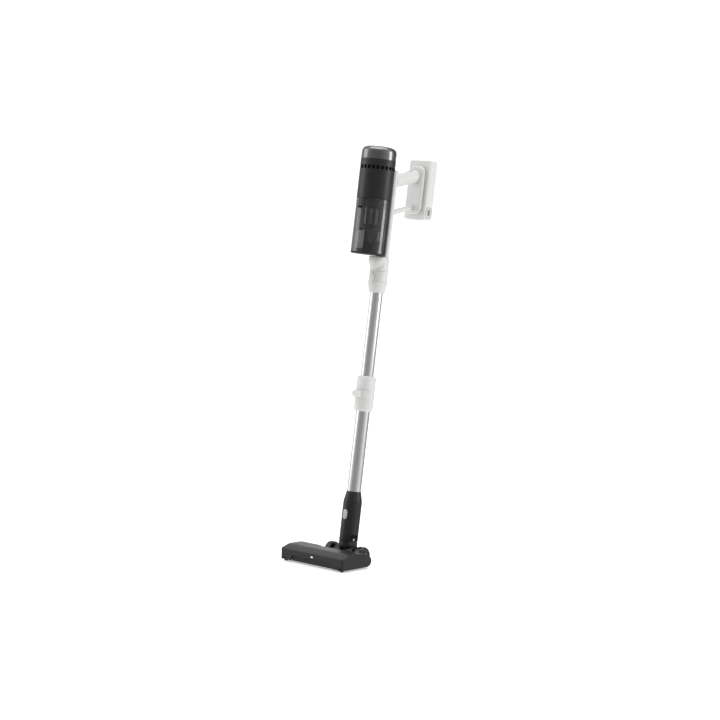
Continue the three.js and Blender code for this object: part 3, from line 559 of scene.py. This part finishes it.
# ---------------------------------------------------------------- cylinder
def cylinder_unit():
    at = (0.0, CAN_T)
    r = CAN_R
    crown = [(r, 1028), (r, 1045), (r - 0.6, 1052.5), (r - 5, 1058.8), (r - 13, 1062.1), (0, 1062.2),
        (0, 1059.2), (r - 15, 1059), (r - 7, 1055.5), (r - WALL, 1046), (r - WALL, 1028)]
    turned("top_cap", crown, "gunmetal", "cap", radius=[0.5, 2, 7, 6, 5, 0, 0, 3, 3, 3, 0], segs=128,
        centre=at, replaces=["cap"])

    wall = [(r, 924.2), (r, 1027.6), (26, 1027.6), (26, 1024.6), (r - WALL, 1024.6), (r - WALL, 927.2),
        (20, 927.2), (20, 924.2)]
    housing = turned("fan_housing", wall, "dark", "main_body", radius=[0.4, 0.5, 0, 0, 0, 0, 0, 0],
        segs=128, centre=at, replaces=["motor_housing"], slot="dark_plastic")
    for i in range(-8, 9):
        turn = Matrix.Translation((0, CAN_T, 0)) @ Matrix.Rotation(math.radians(15 * i), 4, "Z")
        verts, faces = prism_data(slab_outline(4.2, 4.75, 1.2, (0, 1006.25), 3), -r - 5, -r + 6, "y")
        carve(housing, f"slot_{i + 8}", moved(verts, turn), faces)

    wall = ring(r, r - WALL, 784.4, 923.7)
    shell = turned("clear_wall", wall, "clear", "bin", radius=0.5, segs=96, centre=at, start=-52, sweep=152,
        replaces=["bin_shell"], slot="smoky_clear")
    carve(shell, "clear_gap", *prism_data([(-11.4, -110), (11.4, -110), (11.4, CAN_T - 30),
        (-11.4, CAN_T - 30)], 897.5, 930, "z"))
    back = turned("bin_spine", wall, "deep", "bin", radius=0.4, segs=72, centre=at, start=100.5, sweep=207,
        replaces=["bin_back"], slot="dark_plastic")
    carve(back, "bin_inlet", *prism_data(slab_outline(12.6, 13, 3, (0, 836)), -20, 10, "y"))
    base = [(0, 781), (r - 1, 781), (r, 782), (r, 784), (r - 2.6, 784), (r - 2.6, 790), (r - 4.6, 790),
        (r - 4.6, 784), (0, 784)]
    turned("bin_floor", base, "deep", "bin", radius=0.3, segs=128, centre=at, replaces=["bin_base"],
        slot="dark_plastic")

    tab = turned("bin_press", ring(r + 0.9, r - WALL, 902, 923.6), "dark", "bin_tab", radius=0.5, segs=32,
        centre=at, start=-14, sweep=28, replaces=["bin_tab"], slot="dark_plastic")
    for k in range(7):
        groove = prism_data([(-14, 903.4 + 2.4 * k), (14, 903.4 + 2.4 * k), (14, 904.4 + 2.4 * k),
            (-14, 904.4 + 2.4 * k)], -98, -r + CAN_T - 0.2, "y")
        carve(tab, f"tab_groove_{k}", *groove)

    shroud = [(26, 850), (28, 853), (28, 905), (33, 912), (33, 918), (29, 918), (29, 912), (24, 905),
        (24, 850)]
    mesh = turned("shroud", shroud, "dark", "bin", radius=0.4, segs=96, centre=at, replaces=["shroud_mesh"])
    cells = []
    for i in range(10):
        turn = Matrix.Translation((0, CAN_T, 0)) @ Matrix.Rotation(math.radians(36 * i), 4, "Z")
        verts, faces = prism_data(slab_outline(5.4, 20, 1.5, (0, 878), 3), -40, -20, "y")
        cells.append((moved(verts, turn), faces))
    for i, (verts, faces) in enumerate(cells):
        carve(mesh, f"vent_{i}", verts, faces)
    turned("shroud_screen", ring(25.4, 24.5, 854, 902), "mesh", "bin", radius=0, segs=96, centre=at)
    cone = [(12, 812), (23, 846), (23.6, 916), (21.6, 916), (21, 847), (10, 812)]
    turned("cone", cone, "black", "bin", radius=0.6, segs=96, centre=at, replaces=["cyclone_cone"])
    prism("flap", slab_outline(14, 23, 2.5, (-11, 819)), (CAN_T - 25.4, CAN_T - 23.8), "y", "white", "bin",
        replaces=["inlet_flap"], bevel=0.4, angle=60)


# ---------------------------------------------------------------- carried-over CAD pieces
CAD_LOOKS = {
    "dark": ["head_base", "brush_core"],
    "black": ["neck_bay", "brush_pulley", "motor_pulley", "charge_socket"],
    "white": ["battery_lid"],
    "light": ["clamp_bushing"],
    "rubber": ["drive_belt", "suction_duct", "fan_bracket", "bin_seal"],
    # The exhaust foam takes the near-black painted recess shade.
    "recess": ["exhaust_foam"],
    "felt": ["glide_pad_left", "glide_pad_right"],
    "bristle": ["bristle_strip_a", "bristle_strip_b"],
    "steel": ["brush_bearing", "head_motor", "fan_motor"],
    "gunmetal": ["impeller", "axle_left", "axle_right"],
    "paper": ["pre_filter"],
    "copper": ["cell_pack"],
}


def smooth_by_angle():
    """A modifier group that smooths shading across shallow edges and keeps the sharp ones."""
    group = bpy.data.node_groups.new("smooth_by_angle", "GeometryNodeTree")
    group.interface.new_socket("Geometry", in_out="INPUT", socket_type="NodeSocketGeometry")
    group.interface.new_socket("Geometry", in_out="OUTPUT", socket_type="NodeSocketGeometry")
    nodes, links = group.nodes, group.links
    start, end = nodes.new("NodeGroupInput"), nodes.new("NodeGroupOutput")
    faces, edges = nodes.new("GeometryNodeSetShadeSmooth"), nodes.new("GeometryNodeSetShadeSmooth")
    faces.domain, edges.domain = "FACE", "EDGE"
    angle = nodes.new("GeometryNodeInputMeshEdgeAngle")
    less = nodes.new("FunctionNodeCompare")
    less.operation = "LESS_EQUAL"
    less.inputs["B"].default_value = math.radians(32)
    links.new(angle.outputs["Unsigned Angle"], less.inputs["A"])
    links.new(start.outputs[0], faces.inputs["Geometry"])
    links.new(faces.outputs["Geometry"], edges.inputs["Geometry"])
    links.new(less.outputs["Result"], edges.inputs["Shade Smooth"])
    links.new(edges.outputs["Geometry"], end.inputs[0])
    return group


def dress_cad():
    group = smooth_by_angle()
    for look, names in CAD_LOOKS.items():
        for name in names:
            node = frame["nodes"][name]
            node.data.materials.clear()
            node.data.materials.append(MATS[look])
            node.modifiers.new("smooth", "NODES").node_group = group


# ---------------------------------------------------------------- studio
def studio():
    floor_mat = Mat("studio_floor", Roughness=0.6)
    floor_mat.tint(floor_mat.noise(3.0, 2.0), (0.90, 0.90, 0.90), (0.92, 0.92, 0.92))
    floor_mat.bump(floor_mat.noise(600.0, 2.0), 0.02, 0.0001)
    floor_mat.shader.inputs["Emission Color"].default_value = (1, 1, 1, 1)
    floor_mat.shader.inputs["Emission Strength"].default_value = 0.42
    depth, lift = 4.2, 5.0
    profile = [(-8.0, 0.0), (depth, 0.0)]
    for k in range(1, 13):
        a = math.pi / 2 * k / 12
        profile.append((depth + 1.5 * math.sin(a), 1.5 - 1.5 * math.cos(a)))
    profile.append((depth + 1.5, lift))
    for name, part in (("floor", profile[:2]), ("backdrop", profile[1:])):
        n = len(part)
        mesh = bpy.data.meshes.new(name)
        mesh.from_pydata([(x, y, z) for x in (-2.4, 2.4) for y, z in part], [],
            [(i, i + 1, n + i + 1, n + i) for i in range(n - 1)])
        mesh.polygons.foreach_set("use_smooth", [True] * len(mesh.polygons))
        mesh.materials.append(floor_mat.material)
        sheet = bpy.data.objects.new(name, mesh)
        sheet.rotation_euler.z = VIEW_AZIMUTH
        sheet.visible_glossy = name != "floor"
        bpy.context.scene.collection.objects.link(sheet)


VIEW_AZIMUTH = math.radians(44.57)


def area(name, place, target, size, power, color=(1, 1, 1)):
    light = bpy.data.lights.new(name, "AREA")
    light.shape = "RECTANGLE"
    light.size, light.size_y = size
    light.energy = power
    light.color = color
    obj = bpy.data.objects.new(name, light)
    obj.location = place
    obj.rotation_euler = (Vector(target) - Vector(place)).to_track_quat("-Z", "Y").to_euler()
    bpy.context.scene.collection.objects.link(obj)


def seen_from(azimuth, distance, height):
    """A place at an azimuth counted from the camera's own, seen from above, positive to the camera's right."""
    a = VIEW_AZIMUTH + math.radians(azimuth)
    return (math.sin(a) * distance, PIVOT.y - math.cos(a) * distance, height)


def lights():
    target = (0, PIVOT.y + 0.1, 0.6)
    area("right_strip", seen_from(84, 2.4, 1.1), target, (0.8, 1.3), 12)
    area("left_strip", seen_from(-102, 2.2, 1.1), target, (1.3, 2.0), 10)
    area("top", (0, PIVOT.y, 3.4), target, (3.0, 3.0), 50)
    bpy.context.scene.world = sky()


def sky():
    """A white cove: plain white to the camera; to reflections, dim in front and behind and bright to the sides."""
    world = bpy.data.worlds.new("studio_world")
    world.use_nodes = True
    nodes, links = world.node_tree.nodes, world.node_tree.links
    direction = nodes.new("ShaderNodeTexCoord").outputs["Generated"]
    towards = nodes.new("ShaderNodeVectorMath")
    towards.operation = "DOT_PRODUCT"
    a = VIEW_AZIMUTH + math.radians(-15)
    towards.inputs[1].default_value = (math.sin(a), -math.cos(a), 0.0)
    links.new(direction, towards.inputs[0])
    ranged = nodes.new("ShaderNodeMapRange")
    ranged.inputs["From Min"].default_value = -1.0
    links.new(towards.outputs["Value"], ranged.inputs["Value"])
    ramp = nodes.new("ShaderNodeValToRGB")
    stops = ramp.color_ramp.elements
    for place, level in ((0.0, 0.3), (0.18, 0.3), (0.3, 0.85), (0.5, 0.95), (0.95, 0.35), (1.0, 0.33)):
        stop = stops.new(place) if place not in (0.0, 1.0) else stops[int(place) * (len(stops) - 1)]
        stop.color = (level, level, level, 1)
    links.new(ranged.outputs["Result"], ramp.inputs["Fac"])
    level = nodes.new("ShaderNodeMath")
    level.operation = "MAXIMUM"
    links.new(ramp.outputs["Color"], level.inputs[0])
    links.new(nodes.new("ShaderNodeLightPath").outputs["Is Camera Ray"], level.inputs[1])
    links.new(level.outputs[0], nodes["Background"].inputs["Strength"])
    nodes["Background"].inputs["Color"].default_value = (1.0, 1.0, 1.0, 1)
    return world


def camera():
    """The viewpoint: level with the top of the object, long lens, rolled a little."""
    distance, height, roll = 5.798, 1.155, math.radians(0.89)
    aim = Vector((0, PIVOT.y, 0.52))
    place = Vector((math.sin(VIEW_AZIMUTH) * distance, PIVOT.y - math.cos(VIEW_AZIMUTH) * distance, height))
    back = (place - aim).normalized()
    right = Vector((math.cos(VIEW_AZIMUTH), math.sin(VIEW_AZIMUTH), 0))
    up = back.cross(right)
    side = right * math.cos(roll) + up * math.sin(roll)
    top = up * math.cos(roll) - right * math.sin(roll)
    data = bpy.data.cameras.new("camera")
    data.sensor_width = 36.0
    data.lens = (place - aim).length / 0.0026 / 720 * 36.0
    data.shift_x, data.shift_y = 0.01403, 0.00483
    data.dof.use_dof = False
    obj = bpy.data.objects.new("camera", data)
    obj.matrix_world = Matrix.Translation(place) @ Matrix((side, top, back)).transposed().to_4x4()
    bpy.context.scene.collection.objects.link(obj)
    bpy.context.scene.camera = obj


def picture():
    view = bpy.context.scene.view_settings
    view.view_transform = "Standard"
    view.look = "None"
    view.exposure = 0.0


floor_head()
neck()
wand()
body_shell()
battery()
cylinder_unit()
dress_cad()
studio()
lights()
camera()
picture()
